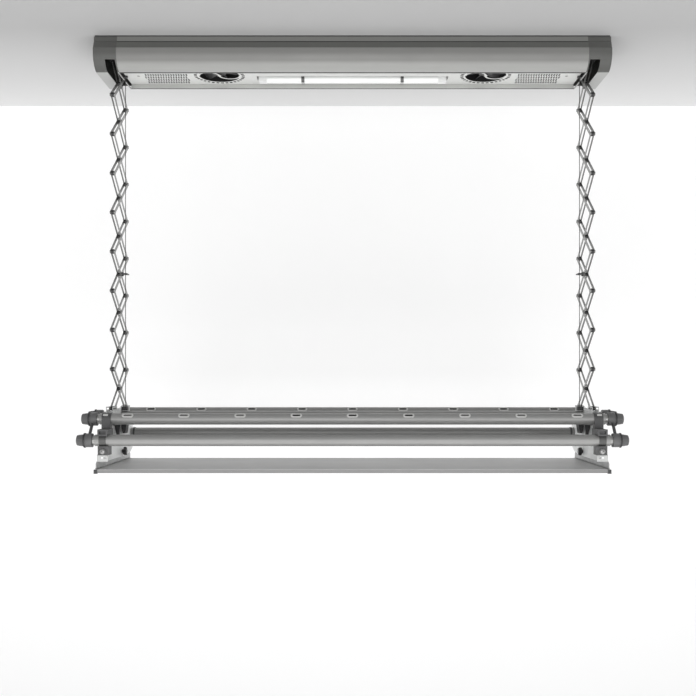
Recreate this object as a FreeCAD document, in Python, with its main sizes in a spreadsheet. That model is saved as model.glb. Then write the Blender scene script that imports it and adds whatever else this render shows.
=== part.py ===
import FreeCAD, Part
import math
import os
import re

import Sketcher
from FreeCAD import Placement, Rotation, Vector

# A ceiling clothes rack that a motor lowers on two ropes, steadied by a scissor at each end.
# Frame: origin on the ceiling at the middle of the base plate, +X along the length,
# -Y to the front, +Z up. Drawn lowered; every length is in millimetres.

CELLS = 9  # scissor cells between the housing and the rack

SIZES = {
    # housing
    "housing_length": 1300.0,
    "housing_height": 86.5,
    "bulge_half": 106.5,
    "crown_inset": 12.5,
    "lip_inset": 39.0,
    "wall": 2.0,
    "ceiling_gap": 2.0,
    "cap_length": 58.0,
    "slot_inset": 3.0,
    "slot_width": 26.0,
    "slot_height": 62.0,
    "flange_inset": 14.0,
    "anchor_hole": 6.5,
    "anchor_inset": 120.0,
    "anchor_row": 120.0,
    "panel_recess": 13.5,
    "panel_thick": 2.5,
    "panel_gap": 0.5,
    "panel_edge": 5.5,
    "panel_screw_inset": 34.0,
    # fans, vents and lamp
    "fan_inset": 303.0,
    "fan_row": -2.0,
    "fan_size": 138.0,
    "fan_depth": 22.0,
    "vent_gap": 16.0,
    "vent_pitch": 6.6,
    "lamp_gap": 53.0,
    "lamp_size": 22.0,
    "lamp_row": 20.0,
    "lamp_drop": 2.0,
    # drive
    "shaft_size": 8.0,
    "shaft_depth": 30.0,
    "drum_radius": 21.0,
    "rope_size": 2.0,
    "motor_length": 180.0,
    "motor_width": 42.0,
    # scissors
    "scissor_inset": 18.0,
    "pivot_depth": 40.0,
    "rear_pivot": 84.0,
    "drop": 898.0,
    "link_length": 178.4942,
    "folded_angle": 5.9868,
    "strip_width": 9.0,
    "strip_thick": 1.2,
    "strip_gap": 0.1,
    "sleeve_size": 12.0,
    "sleeve_length": 6.6,
    "pin_size": 4.0,
    "pin_clearance": 0.08,
    "open_clearance": 0.3,
    # rack
    "side_inset": 9.0,
    "side_thick": 2.0,
    "tube_size": 28.0,
    "tube_wall": 1.5,
    "slide_clearance": 0.5,
    "upper_row": 142.5,
    "upper_front_drop": 24.0,
    "upper_rear_drop": 16.0,
    "middle_gap": 8.0,
    "lower_step": 46.5,
    "lower_drop": 74.0,
    "extension_length": 420.0,
    "extension_gap": 9.0,
    "middle_extra": 22.0,
    "eyelet_inset": 67.0,
    "eyelet_length": 28.0,
    "eyelet_width": 12.0,
    "eyelet_turn": 50.0,
    # tray
    "tray_overhang": 5.0,
    "tray_drop": 145.0,
    "tray_lip": 8.0,
    "tray_sheet": 1.5,
    "knob_row": 81.0,
    "knob_rise": 26.0,
}

# places that follow from the sizes
PLACES = {
    "crown_half": "(bulge_half - crown_inset)",
    "lip_half": "(bulge_half - lip_inset)",
    "flange_half": "(crown_half - flange_inset)",
    "panel_half": "(lip_half + panel_edge)",
    "panel_depth": "(housing_height - panel_recess)",
    "anchor_outer": "(housing_length / 2 - anchor_inset)",
    "anchor_inner": "(anchor_outer / 2)",
    "fan_place": "(housing_length / 2 - fan_inset)",
    "vent_place": "(fan_place + fan_size / 2 + vent_gap)",
    "lamp_half": "(fan_place - fan_size / 2 - lamp_gap)",
    "lamp_depth": "(panel_depth + lamp_drop)",
    "rope_place": "(housing_length / 2 - cap_length)",
    "slot_start": "(rope_place + slot_inset)",
    "scissor_place": "(rope_place + scissor_inset)",
    "side_place": "(scissor_place + side_inset)",
    "extension_end": "(side_place + extension_gap)",
    "tray_length": "(2 * (side_place + tray_overhang))",
    "eyelet_pitch": "((side_place - eyelet_inset) / 4)",
    "spread": "sqrt(link_length ^ 2 - (drop / %d) ^ 2)" % CELLS,
    "foot_depth": "(pivot_depth + drop)",
    "upper_front_depth": "(foot_depth + upper_front_drop)",
    "upper_rear_depth": "(foot_depth + upper_rear_drop)",
    "middle_depth": "(foot_depth + tube_size / 2 + middle_gap)",
    "lower_row": "(upper_row + lower_step)",
    "lower_depth": "(foot_depth + lower_drop)",
    "tray_width": "(2 * lower_row)",
    "tray_depth": "(foot_depth + tray_drop)",
    "knob_depth": "(tray_depth - knob_rise)",
}

doc = FreeCAD.newDocument("ceiling_rack")
sheet = doc.addObject("Spreadsheet::Sheet", "Sizes")
for row, (alias, value) in enumerate(SIZES.items(), 1):
    sheet.set("A%d" % row, alias)
    sheet.set("B%d" % row, str(value))
    sheet.setAlias("B%d" % row, alias)
doc.recompute()

NODES = {}


def size(expression):
    """The value in millimetres of an expression in the sheet's aliases."""
    return float(sheet.evalExpression(bound(expression)))


def bound(expression):
    """The expression in the sheet's own terms, with every place written out in sizes."""
    def replace(word):
        if word[0] in PLACES:
            return bound(PLACES[word[0]])
        return "Sizes." + word[0] if word[0] in SIZES else word[0]
    return re.sub(r"[a-z_]+", replace, expression)


def bind(item, **values):
    """Binds properties of an object to expressions in the sheet's aliases."""
    for name, expression in values.items():
        item.setExpression(name.replace("__", "."), bound(expression))


def place(item, x="0", y="0", z="0"):
    """Puts an object at a point that the sheet gives."""
    bind(item, Placement__Base__x=x, Placement__Base__y=y, Placement__Base__z=z)
    return item


def node(item, label):
    """Names an object as one of the sub-parts to be written."""
    item.Label = label
    NODES[label] = item
    return item


TURNS = {
    "X": Rotation(Vector(0, 1, 0), 90),
    "Y": Rotation(Vector(1, 0, 0), -90),
    "Z": Rotation(),
}


def box(name, length, width, height, x, y, z):
    """A block from its lowest corner."""
    item = doc.addObject("Part::Box", name)
    bind(item, Length=length, Width=width, Height=height)
    return place(item, x, y, z)


def rod(name, radius, length, x, y, z, axis="X"):
    """A round bar that starts at a point and runs along an axis."""
    item = doc.addObject("Part::Cylinder", name)
    item.Placement = Placement(Vector(), TURNS[axis])
    bind(item, Radius=radius, Height=length)
    return place(item, x, y, z)


def cone(name, first, last, length, x, y, z):
    """A tapered round bar along X."""
    item = doc.addObject("Part::Cone", name)
    item.Placement = Placement(Vector(), TURNS["X"])
    bind(item, Radius1=first, Radius2=last, Height=length)
    return place(item, x, y, z)


def group(name, items):
    """Separate solids kept together."""
    item = doc.addObject("Part::Compound", name)
    item.Links = items
    return item


def cut(name, base, tools):
    """A piece with other shapes taken out of it."""
    item = doc.addObject("Part::Cut", name)
    item.Base = base
    item.Tool = tools[0] if len(tools) == 1 else group(name + "_tools", tools)
    return item


def fuse(name, items):
    """Pieces joined into one solid."""
    item = doc.addObject("Part::MultiFuse", name)
    item.Shapes = items
    return item


def mirrored(name, item):
    """The same piece on the other side of the rack."""
    other = doc.addObject("Part::Mirroring", name)
    other.Source = item
    other.Base = Vector()
    other.Normal = Vector(1, 0, 0)
    return other


def both(name, item):
    """A piece and its mirror image as two separate solids."""
    return group(name, [item, mirrored(name + "_left", item)])


def shaped(name, shape, x="0", y="0", z="0", turn=None):
    """A piece whose outline the primitives cannot give."""
    item = doc.addObject("Part::Feature", name)
    item.Shape = shape if shape.Placement.isIdentity() else Part.makeCompound([shape])
    item.Placement = Placement(Vector(), turn or Rotation())
    return place(item, x, y, z)


def outline(points):
    """A closed flat face through (y, z) points; a point with a third value is an arc's middle."""
    edges = []
    corners = points + points[:1]
    start = corners[0]
    middle = None
    for point in corners[1:]:
        if len(point) == 3:
            middle = point
            continue
        a = Vector(0, start[0], start[1])
        b = Vector(0, point[0], point[1])
        if middle:
            edges.append(Part.Arc(a, Vector(0, middle[0], middle[1]), b).toShape())
        else:
            edges.append(Part.makeLine(a, b))
        start = point
        middle = None
    return Part.Face(Part.Wire(edges))


def oval(length, width, height):
    """A round-ended bar along X, centred on the origin, that stands on z = 0."""
    half = (length - width) / 2
    bar = Part.makeBox(2 * half, width, height, Vector(-half, -width / 2, 0))
    ends = [Part.makeCylinder(width / 2, height, Vector(side * half, 0, 0)) for side in (-1, 1)]
    return bar.multiFuse(ends).removeSplitter()


def plate_body(label, length, width, thick, holes):
    """A flat sheet under z = 0 with round holes given as (x, y, diameter) expressions."""
    body = doc.addObject("PartDesign::Body", label)
    sketch = body.newObject("Sketcher::SketchObject", label + "_outline")
    plane = [item for item in body.Origin.OriginFeatures if item.Role == "XY_Plane"][0]
    sketch.AttachmentSupport = [(plane, "")]
    sketch.MapMode = "FlatFace"
    half_x, half_y = size(length) / 2, size(width) / 2
    corners = [
        Vector(x * half_x, y * half_y)
        for x, y in ((-1, -1), (1, -1), (1, 1), (-1, 1))
    ]
    for start, end in zip(corners, corners[1:] + corners[:1]):
        sketch.addGeometry(Part.LineSegment(start, end))
    for side in range(4):
        sketch.addConstraint(Sketcher.Constraint("Coincident", side, 2, (side + 1) % 4, 1))
        sketch.addConstraint(Sketcher.Constraint("Horizontal" if side % 2 == 0 else "Vertical", side))
    sketch.addConstraint(Sketcher.Constraint("Symmetric", 0, 1, 1, 2, -1, 1))
    named = [
        ("sheet_length", Sketcher.Constraint("DistanceX", 0, 1, 0, 2, size(length)), length),
        ("sheet_width", Sketcher.Constraint("DistanceY", 1, 1, 1, 2, size(width)), width),
    ]
    for number, (x, y, bore) in enumerate(holes):
        centre = Vector(size(x), size(y), 0)
        hole = sketch.addGeometry(Part.Circle(centre, Vector(0, 0, 1), size(bore) / 2))
        for kind, word, value in (("DistanceX", "x", x), ("DistanceY", "y", y)):
            rule = Sketcher.Constraint(kind, -1, 1, hole, 3, size(value))
            named.append(("hole_%d_%s" % (number, word), rule, value))
        rule = Sketcher.Constraint("Diameter", hole, size(bore))
        named.append(("hole_%d_bore" % number, rule, bore))
    for name, rule, value in named:
        place_in_list = sketch.addConstraint(rule)
        sketch.renameConstraint(place_in_list, name)
        sketch.setExpression("Constraints." + name, bound(value))
    pad = body.newObject("PartDesign::Pad", label + "_sheet")
    pad.Profile = sketch
    pad.Reversed = True
    bind(pad, Length=thick)
    return node(body, label)


# ---------------------------------------------------------------- housing


def section(inset):
    """The housing's cross-section, drawn in from its outside by inset."""
    crown = size("crown_half") - inset
    bulge = size("bulge_half") - inset
    lip = size("lip_half")
    bottom = inset - size("housing_height")
    top = -size("ceiling_gap") - inset
    drop = 45.5  # height of the lower curve
    belly = bottom + drop - inset
    middle = (lip + 0.707 * (bulge - lip), belly - 0.707 * (belly - bottom), 1)
    groove = 1.0 if inset == 0 else 0.0
    rear = [
        (crown, top),
        (crown + 2, -14.0),
        (crown + 2 - groove, -14.6),
        (crown + 2 - groove, -16.0),
        (crown + 3, -16.6),
        (crown + 10, -33.0),
        (bulge, -34.0),
        (bulge, belly),
        middle,
        (lip, bottom),
    ]
    front = [(-point[0],) + point[1:] for point in reversed(rear)]
    return outline(rear + front)


def slab(x, length, y, width, z, height):
    """A block of a shape in code, from its lowest corner."""
    return Part.makeBox(length, width, height, Vector(x, y, z))


HALF = size("housing_length / 2")
SHELL = size("housing_length / 2 - cap_length")
WALL = size("wall")
BOTTOM = -size("housing_height")
PANEL_TOP = -size("panel_depth - panel_thick")
FLANGE = size("flange_half")


def return_lip(side, x, length):
    """The thin wall that turns up from a bottom lip to the panel."""
    lip = size("lip_half")
    edge = size("panel_half + panel_gap")
    level = -size("panel_depth")
    points = [(lip - 0.5, BOTTOM), (lip + 2, BOTTOM), (edge + 2, level), (edge, level)]
    face = outline([(side * y, z) for y, z in points])
    return face.extrude(Vector(length, 0, 0)).translated(Vector(x, 0, 0))


def shell_shape():
    """Two curved cheeks with inward flanges at the top and turned-up lips at the bottom."""
    run = Vector(2 * SHELL, 0, 0)
    shape = section(0).extrude(run).cut(section(WALL).extrude(run))
    lip = size("lip_half") - 0.5
    open_bottom = slab(0, 2 * SHELL, -lip, 2 * lip, BOTTOM - 1, 2 * WALL)
    open_top = slab(0, 2 * SHELL, -FLANGE, 2 * FLANGE, -10, 20)
    shape = shape.cut(open_bottom).cut(open_top)
    lips = [return_lip(side, 0, 2 * SHELL) for side in (-1, 1)]
    shape = shape.multiFuse(lips).removeSplitter()
    return Part.makeCompound(shape.Solids)


def cap_shape():
    """The right end cap: the same outline, closed at its end, slotted for the scissor."""
    depth = size("cap_length")
    shape = section(0).extrude(Vector(depth, 0, 0))
    shape = shape.cut(section(WALL).extrude(Vector(depth - WALL, 0, 0)))
    shape = shape.cut(slab(-1, depth - WALL + 1, -FLANGE, 2 * FLANGE, -10, 20))
    start = size("slot_start") - SHELL
    tail = size("rear_pivot + sleeve_size / 2 + 8")
    front = size("bulge_half") + 1
    height = size("housing_height - slot_height") + 1
    slot = slab(start, size("slot_width"), -front, front + tail, BOTTOM - 1, height)
    rope = Part.makeCylinder(8, 10, Vector(size("rope_place") - SHELL, 0, BOTTOM - 1))
    return shape.cut(slot).cut(rope)


def swirl_grille():
    """The cuts of one fan's grille, centred on the fan: petals round an S-shaped divider."""
    depth = 10.0
    outer = size("fan_size / 2 - 3")
    inner = outer - 8
    petals = []
    for number in range(32):
        petal = slab(inner, outer - inner, -3.6, 7.2, -depth / 2, depth)
        petal.rotate(Vector(), Vector(0, 0, 1), number * 360 / 32)
        petals.append(petal)
    reach = inner - 5
    disc = Part.makeCylinder(reach, depth, Vector(0, 0, -depth / 2))
    hub = Part.makeCylinder(5, 2 * depth, Vector(0, 0, -depth))
    rim = Part.makeCylinder(reach + 2, 2 * depth, Vector(0, 0, -depth))
    ribs = [hub]
    for side in (-1, 1):
        centre = Vector(side * reach / 2, 0, -depth)
        ring = Part.makeCylinder(reach / 2 + 2.5, 2 * depth, centre)
        ring = ring.cut(Part.makeCylinder(reach / 2 - 2.5, 2 * depth, centre))
        half = slab(-2 * reach, 4 * reach, min(0, side * 2 * reach), 2 * reach, -depth, 2 * depth)
        ribs.append(ring.common(half).common(rim))
    return petals + disc.cut(ribs[0].multiFuse(ribs[1:])).Solids


def vent_slots():
    """Staggered rows of short slots that run front to back, from the vent's first column outward."""
    slots = []
    for column in range(17):
        for line in range(4):
            slot = oval(17, 3.4, 10)
            slot.rotate(Vector(), Vector(0, 0, 1), 90)
            shift = (line % 2) / 2
            slots.append(slot.translated(Vector((column + shift) * size("vent_pitch"), -9 + line * 21, -5)))
    return slots


LAMP_BAY = size("lamp_half + 27")
BAY_HALF = 19.0
BAY_TOP = PANEL_TOP + 17.0


def panel_shape():
    """The recessed bottom panel with fan grilles, vents, lamp trough and rope notches."""
    half = size("panel_half")
    level = -size("panel_depth")
    length = SHELL - size("panel_gap")
    shape = slab(-length, 2 * length, -half, 2 * half, level, size("panel_thick"))
    row = size("lamp_row")
    trough = slab(-LAMP_BAY, 2 * LAMP_BAY, row - BAY_HALF, 2 * BAY_HALF, level, BAY_TOP - level)
    skin = 1.5
    inner_length = 2 * (LAMP_BAY - skin)
    inner_width = 2 * (BAY_HALF - skin)
    inner_height = BAY_TOP - level + 1 - skin
    hollow = slab(
        -inner_length / 2, inner_length, row - inner_width / 2, inner_width, level - 1, inner_height
    )
    shape = shape.fuse(trough).cut(hollow)
    cuts = []
    middle = level + size("panel_thick") / 2
    for side in (-1, 1):
        fan = Vector(side * size("fan_place"), size("fan_row"), middle)
        cuts += [piece.translated(fan) for piece in swirl_grille()]
        vents = Part.makeCompound(vent_slots()).translated(Vector(size("vent_place"), 0, middle))
        if side < 0:
            vents = vents.mirror(Vector(), Vector(1, 0, 0))
        cuts += vents.Solids
        notch = Vector(side * size("rope_place"), 0, level - 5)
        cuts.append(Part.makeCylinder(6, 12, notch))
        screw_x = size("rope_place - panel_screw_inset")
        screw = Vector(side * screw_x, 0, level - 5)
        cuts.append(Part.makeCylinder(1.8, 20, screw))
    return shape.cut(Part.makeCompound(cuts)).removeSplitter()


anchors = [
    ("%d * %s" % (side, column), "%d * anchor_row / 2" % line, "anchor_hole")
    for column in ("anchor_inner", "anchor_outer")
    for side in (-1, 1)
    for line in (-1, 1)
]
plate_body("ceiling_base_plate", "housing_length - 6", "2 * crown_half + 3", "ceiling_gap", anchors)

node(shaped("host_shell", shell_shape(), x="cap_length - housing_length / 2"), "housing_shell")
cap = shaped("cap", cap_shape(), x="housing_length / 2 - cap_length")
node(cap, "end_cap_right")
node(mirrored("cap_left", cap), "end_cap_left")
node(shaped("panel", panel_shape()), "bottom_panel")

screws = []
for side in (-1, 1):
    x = "%d * (rope_place - panel_screw_inset)" % side
    head = rod("panel_screw_head", "4", "1.6", x, "0", "0 - panel_depth - 1.6", "Z")
    shank = rod("panel_screw_shank", "1.8", "10", x, "0", "0 - panel_depth", "Z")
    screws.append(fuse("panel_screw", [head, shank]))
for column in (-3, -1, 1, 3):
    for side in (-1, 1):
        x = "%d * (housing_length / 2 - 170) / 3" % column
        y = "%d * (flange_half + 3)" % side
        screws.append(rod("flange_screw", "2.6", "1.8", x, y, "0 - ceiling_gap - wall - 1.8", "Z"))
node(group("screws", screws), "housing_screws")

# ---------------------------------------------------------------- fans and lamp

FAN_TOP = "(0 - panel_depth + panel_thick + fan_depth)"


def fan_frame_shape():
    """A shallow ring with three spokes that hold the axle over the rotor."""
    outer = size("fan_size / 2 + 3")
    depth = size("fan_depth")
    ring = Part.makeCylinder(outer, depth, Vector(0, 0, -depth))
    ring = ring.cut(Part.makeCylinder(outer - 2.5, depth + 2, Vector(0, 0, -depth - 1)))
    parts = [Part.makeCylinder(20, 3, Vector(0, 0, -3))]
    parts.append(Part.makeCylinder(2, depth - 3, Vector(0, 0, 3 - depth)))
    for turn in range(3):
        spoke = slab(0, outer - 1, -4, 8, -3, 3)
        spoke.rotate(Vector(), Vector(0, 0, 1), 90 + 120 * turn)
        parts.append(spoke)
    return ring.multiFuse(parts).removeSplitter()


def fan_rotor_shape():
    """A hub bored for the axle with seven pitched blades."""
    reach = size("fan_size / 2 - 4")
    depth = size("fan_depth") - 8
    blades = []
    for turn in range(7):
        blade = slab(14, reach - 14, -1, 2, -9, 18)
        blade.rotate(Vector(), Vector(1, 0, 0), 52)
        blade.rotate(Vector(), Vector(0, 0, 1), 360 / 7 * turn)
        blades.append(blade)
    hub = Part.makeCylinder(18, depth, Vector(0, 0, -depth / 2))
    sweep = Part.makeCylinder(reach, depth, Vector(0, 0, -depth / 2))
    rotor = hub.multiFuse(blades).common(sweep)
    return rotor.cut(Part.makeCylinder(2.06, 60, Vector(0, 0, -30))).removeSplitter()


frame_ring = shaped("fan_frame", fan_frame_shape(), "fan_place", "fan_row", FAN_TOP)
node(both("fan_frame_pair", frame_ring), "fan_frames")
rotor_level = FAN_TOP + " - fan_depth / 2 - 0.5"
rotor = shaped("fan_rotor", fan_rotor_shape(), "fan_place", "fan_row", rotor_level)
node(rotor, "fan_rotor_right")
node(mirrored("fan_rotor_mirrored", rotor), "fan_rotor_left")

node(
    rod("tube", "lamp_size / 2", "2 * lamp_half", "0 - lamp_half", "lamp_row", "0 - lamp_depth"),
    "lamp_tube",
)
socket = box("socket", "20", "24", "28", "lamp_half", "lamp_row - 12", "0 - lamp_depth - 9")
node(both("socket_pair", socket), "lamp_sockets")
clip_ring = cut(
    "clip_ring",
    rod("clip_outside", "lamp_size / 2 + 1.5", "8", "lamp_half - 99", "lamp_row", "0 - lamp_depth"),
    [
        rod("clip_inside", "lamp_size / 2", "10", "lamp_half - 100", "lamp_row", "0 - lamp_depth"),
        box("clip_mouth", "10", "12", "12", "lamp_half - 100", "lamp_row - 6", "0 - lamp_depth - 14"),
    ],
)
clip_stem = box(
    "clip_stem", "8", "6", "%.2f + lamp_depth - lamp_size / 2 - 0.5" % (BAY_TOP - 1.5),
    "lamp_half - 99", "lamp_row - 3", "0 - lamp_depth + lamp_size / 2 + 0.5",
)
node(both("clip_pair", fuse("clip", [clip_ring, clip_stem])), "lamp_clips")

# ---------------------------------------------------------------- drive

SHAFT_ROW = "(drum_radius + rope_size / 2)"  # puts the falling rope on y = 0
SHAFT_LEVEL = "(0 - shaft_depth)"
shaft_end = "(rope_place + 7)"
node(
    rod("shaft", "shaft_size / 2", "2 * " + shaft_end, "0 - " + shaft_end, SHAFT_ROW, SHAFT_LEVEL),
    "drive_shaft",
)


def drum():
    """A spool whose barrel carries the rope between two flanges."""
    parts = [
        rod("barrel", "drum_radius", "6", "rope_place - 3", SHAFT_ROW, SHAFT_LEVEL),
        rod("flange_inner", "drum_radius + 6", "1.5", "rope_place - 4.5", SHAFT_ROW, SHAFT_LEVEL),
        rod("flange_outer", "drum_radius + 6", "1.5", "rope_place + 3", SHAFT_ROW, SHAFT_LEVEL),
    ]
    bore = rod("drum_bore", "shaft_size / 2", "20", "rope_place - 10", SHAFT_ROW, SHAFT_LEVEL)
    return cut("drum", fuse("drum_body", parts), [bore])


node(both("drum_pair", drum()), "rope_drums")

motor_start = "0 - motor_length / 2"
motor_can = rod(
    "motor_can", "motor_width / 2", "motor_length * 0.62", motor_start, SHAFT_ROW, SHAFT_LEVEL
)
gearbox = box(
    "gearbox", "motor_length * 0.4", "motor_width + 8", "shaft_depth - ceiling_gap + motor_width / 2",
    "motor_length * 0.1", SHAFT_ROW + " - motor_width / 2 - 4", SHAFT_LEVEL + " - motor_width / 2",
)
motor_bore = rod(
    "motor_bore", "shaft_size / 2 + 0.5", "motor_length + 20", motor_start + " - 10",
    SHAFT_ROW, SHAFT_LEVEL,
)
node(cut("motor", fuse("motor_body", [motor_can, gearbox]), [motor_bore]), "gearmotor")


def bearing(x):
    """A block under the base plate that the shaft turns in."""
    height = "shaft_depth - ceiling_gap + 9"
    block = box(
        "bearing_block", "12", "20", height, x, SHAFT_ROW + " - 10", SHAFT_LEVEL + " - 9"
    )
    bore = rod("bearing_bore", "shaft_size / 2 + 0.05", "20", x + " - 4", SHAFT_ROW, SHAFT_LEVEL)
    return cut("bearing", block, [bore])


bearings = [bearing("motor_length / 2 + 20"), bearing("rope_place - 32")]
bearings += [mirrored("bearing_mirrored", item) for item in bearings]
node(group("bearing_set", bearings), "shaft_bearings")

board = fuse(
    "board",
    [
        box("circuit_board", "110", "54", "1.6", "0 - 240", "0 - 68", "0 - ceiling_gap - 8"),
        box("board_post", "12", "12", "6.4", "0 - 190", "0 - 47", "0 - ceiling_gap - 6.4"),
        box("board_parts", "70", "30", "14", "0 - 225", "0 - 60", "0 - ceiling_gap - 22"),
    ],
)
supply = box("supply", "110", "54", "26", "130", "0 - 68", "0 - ceiling_gap - 26")
node(group("electronics", [board, supply]), "drive_electronics")

eye = cut(
    "eye",
    fuse(
        "eye_body",
        [
            rod("eye_barrel", "6", "panel_thick + 7", "rope_place", "0", "0 - panel_depth - 5", "Z"),
            rod("eye_flange", "8", "1.5", "rope_place", "0", "0 - panel_depth + panel_thick", "Z"),
        ],
    ),
    [rod("eye_bore", "rope_size / 2 + 0.6", "30", "rope_place", "0", "0 - panel_depth - 15", "Z")],
)
node(both("eye_pair", eye), "rope_eyes")

# ---------------------------------------------------------------- scissors

LINK = size("link_length")
OPEN_ANGLE = math.degrees(math.atan2(size("drop") / CELLS, size("spread")))
CELL = size("drop") / CELLS
REAR = size("rear_pivot")
FRONT_LOW = REAR - size("spread")
FRONT_HIGH = REAR - LINK * math.cos(math.radians(size("folded_angle")))
PIN = size("pin_size / 2")
SLEEVE = size("sleeve_length / 2")
INNER_FACE = SLEEVE + size("strip_gap")
THICK = size("strip_thick")
OUTER_FACE = INNER_FACE + THICK + size("strip_gap")
HEAD = 1.0
CHANNEL = OUTER_FACE + THICK + HEAD + 0.6  # from the scissor's middle to a channel wall
CHANNEL_WALL = 1.5
PIVOT_Z = -size("pivot_depth")
FOOT_Z = PIVOT_Z - size("drop")
CLIP_CELL = 6  # the cell whose crossing carries the rope clip


def bar(offset, bores):
    """A round-ended strip along Y whose inner face is at an X offset, bored at (y, radius)."""
    half = LINK / 2
    wide = size("strip_width / 2")
    face = outline([
        (-half, -wide), (half, -wide), (half + wide, 0, 1),
        (half, wide), (-half, wide), (-half - wide, 0, 1),
    ])
    shape = face.extrude(Vector(THICK, 0, 0)).translated(Vector(offset, 0, 0))
    for y, radius in bores:
        shape = shape.cut(Part.makeCylinder(radius, 40, Vector(-20, y, 0), Vector(1, 0, 0)))
    return shape


def pin(y, radius, first, last):
    """A round pin along X between two offsets."""
    return Part.makeCylinder(radius, last - first, Vector(first, y, 0), Vector(1, 0, 0))


def rivet(y, sleeve, first=None, last=None):
    """A headed pin with a sleeve between the strips; first and last lengthen its ends."""
    edge = OUTER_FACE + THICK
    parts = [
        pin(y, PIN, first or -edge - HEAD, last or edge + HEAD),
        pin(y, PIN + 2, -edge - HEAD, -edge),
        pin(y, PIN + 2, edge, edge + HEAD),
        pin(y, sleeve, -SLEEVE, SLEEVE),
    ]
    return parts[0].multiFuse(parts[1:])


def rear_link(cell, side):
    """The strip pair that goes from the rear column down to the front one, with its rivets."""
    top, bottom = LINK / 2, -LINK / 2
    sleeve = size("sleeve_size / 2")
    reach = CHANNEL + CHANNEL_WALL + 0.3
    bores = [(top, PIN + size("pin_clearance"))] if cell == 1 else []
    strips = [bar(OUTER_FACE, bores), bar(-OUTER_FACE - THICK, bores)]
    inner_end = -side * (OUTER_FACE + THICK + HEAD + 2.0)
    clip_end = {"first" if side > 0 else "last": inner_end} if cell == CLIP_CELL else {}
    rivets = [rivet(0, PIN + 2.5, **clip_end)]
    if cell > 1:
        rivets.append(rivet(top, sleeve))
    if cell < CELLS:
        rivets.append(rivet(bottom, sleeve))
    else:
        rivets.append(rivet(bottom, sleeve, -reach, reach))
    return strips[0].multiFuse(strips[1:] + rivets).removeSplitter()


def front_link(cell, side):
    """The strip pair that goes from the front column down to the rear one."""
    top, bottom = -LINK / 2, LINK / 2
    tight = PIN + size("pin_clearance")
    loose = PIN + size("open_clearance")
    bores = [(0, tight), (bottom, loose if cell % 2 and cell < CELLS else tight)]
    if cell > 1:
        bores.append((top, loose if cell % 2 else tight))
    strips = [bar(INNER_FACE, bores), bar(-INNER_FACE - THICK, bores)]
    if cell > 1:
        return Part.makeCompound(strips)
    reach = CHANNEL + CHANNEL_WALL + 0.3
    return strips[0].multiFuse([strips[1], pin(top, PIN, -reach, reach)]).removeSplitter()


def link_pair(make, cell):
    """The right and left links of one cell, which always move together."""
    place_x = size("scissor_place")
    solids = []
    for side in (1, -1):
        solids += make(cell, side).translated(Vector(side * place_x, 0, 0)).Solids
    return Part.makeCompound(solids)


for cell in range(1, CELLS + 1):
    middle = "0 - pivot_depth - drop * %g / %d" % (cell - 0.5, CELLS)
    for make, way, word in ((rear_link, 1, "rear"), (front_link, -1, "front")):
        turn = Rotation(Vector(1, 0, 0), way * OPEN_ANGLE)
        name = "scissor_%d_%s_link" % (cell, word)
        link = shaped(name, link_pair(make, cell), "0", "rear_pivot - spread / 2", middle, turn)
        node(link, name)


def channel(level, top, bottom, front, back):
    """Two walls either side of a scissor end, with the fixed rear pin and the front slot."""
    place_x = size("scissor_place")
    walls = []
    for start in (-CHANNEL - CHANNEL_WALL, CHANNEL):
        walls.append(slab(place_x + start, CHANNEL_WALL, front, back - front, bottom, top - bottom))
    width = 2 * PIN + 0.4
    slot = oval(FRONT_LOW - FRONT_HIGH + width, width, 60)
    slot.rotate(Vector(), Vector(0, 0, 1), 90)
    slot.rotate(Vector(), Vector(0, 1, 0), 90)
    slot.translate(Vector(place_x - 30, (FRONT_LOW + FRONT_HIGH) / 2, level))
    reach = CHANNEL + CHANNEL_WALL
    pins = [pin(0, PIN, -reach, reach), pin(0, size("sleeve_size / 2"), -SLEEVE, SLEEVE)]
    pivot = pins[0].fuse(pins[1]).translated(Vector(place_x, REAR, level))
    walls = [wall.cut(slot) for wall in walls]
    return walls, pivot


def hanger_shape():
    """The channel that hangs a scissor from the base plate."""
    top = PIVOT_Z + 11
    walls, pivot = channel(PIVOT_Z, top, PIVOT_Z - 12, FRONT_HIGH - PIN - 2.5, REAR + 10)
    start = size("scissor_place") - CHANNEL - CHANNEL_WALL
    width = 2 * (CHANNEL + CHANNEL_WALL)
    web = slab(start, width, FRONT_HIGH + 2, REAR - FRONT_HIGH, top - CHANNEL_WALL, CHANNEL_WALL)
    gap = size("ceiling_gap")
    posts = [slab(start + 2, width - 4, y, 16, top - 0.5, -gap - top + 0.5) for y in (-68, 44)]
    return walls[0].multiFuse([walls[1], web, pivot] + posts).removeSplitter()


def foot_shape():
    """The channel on the rack that a scissor stands in, notched over the middle tube."""
    walls, pivot = channel(FOOT_Z, FOOT_Z + 5, FOOT_Z - 19, FRONT_HIGH - PIN - 2.5, REAR + 8)
    place_x = size("scissor_place")
    reach = CHANNEL + CHANNEL_WALL
    spacers = [pin(0, 3, -reach, reach).translated(Vector(place_x, y, FOOT_Z - 14)) for y in (-40, 50)]
    shape = walls[0].multiFuse([walls[1], pivot] + spacers)
    for front, back in ((-55, -12), (12, REAR - 12)):
        gap = slab(place_x - 30, 60, front, back - front, FOOT_Z - 8, 20)
        shape = shape.cut(gap)
    tube = Part.makeCylinder(
        size("tube_size / 2"), 60, Vector(place_x - 30, 0, -size("middle_depth")), Vector(1, 0, 0)
    )
    return shape.cut(tube).removeSplitter()


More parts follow.
